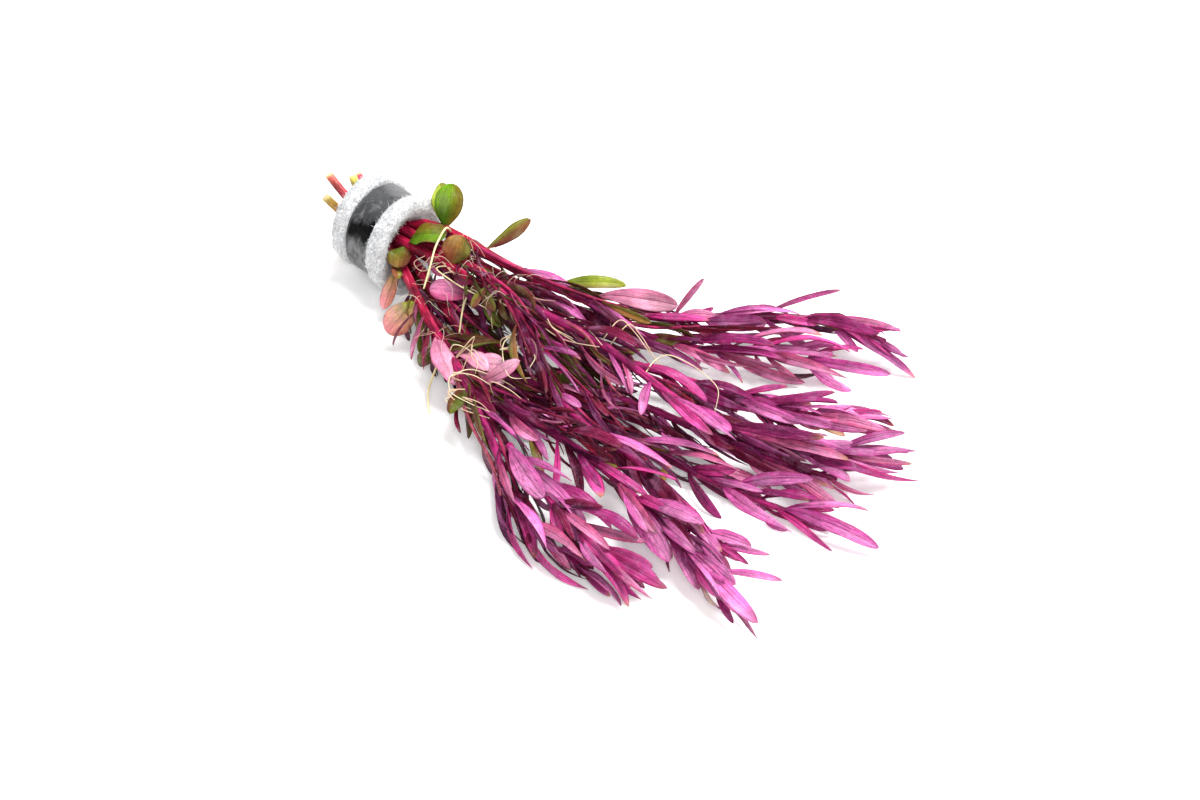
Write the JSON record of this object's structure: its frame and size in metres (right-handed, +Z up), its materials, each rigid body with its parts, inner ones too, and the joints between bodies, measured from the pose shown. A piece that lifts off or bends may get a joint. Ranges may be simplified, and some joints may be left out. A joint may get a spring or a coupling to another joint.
{
  "type": "rotala",
  "caption": "Bunch of cut rotala, an aquarium stem plant with narrow pink leaves, lying flat, held by a foam roll and a soft lead strip.",
  "frame": {"origin": "on the surface that the bunch lies on, under the end of the foam roll that faces the leaves", "axes": "+X along the bunch from its cut ends to its leafy tips, +Y across it, +Z up"},
  "size_m": [0.1822, 0.1189, 0.0302],
  "materials": {
    "foam": "matte",
    "lead": "matte",
    "stem": "satin",
    "leaf": "satin"
  },
  "bodies": {
    "root": {"foam_roll": "foam", "lead_strip": "lead", "stem_a": "stem", "stem_b": "stem", "stem_c": "stem", "stem_d": "stem", "stem_e": "stem", "stem_f": "stem", "stem_g": "stem", "stem_h": "stem", "stem_i": "stem", "shoot_j": "stem", "leaf_1": "leaf", "leaf_2": "leaf", "leaf_3": "leaf", "leaf_4": "leaf", "leaf_5": "leaf", "leaf_6": "leaf", "leaf_7": "leaf", "leaf_8": "leaf", "leaf_9": "leaf", "leaf_10": "leaf", "leaf_11": "leaf", "leaf_12": "leaf", "leaf_13": "leaf", "leaf_14": "leaf", "leaf_15": "leaf", "leaf_16": "leaf"}
  },
  "joints": []
}
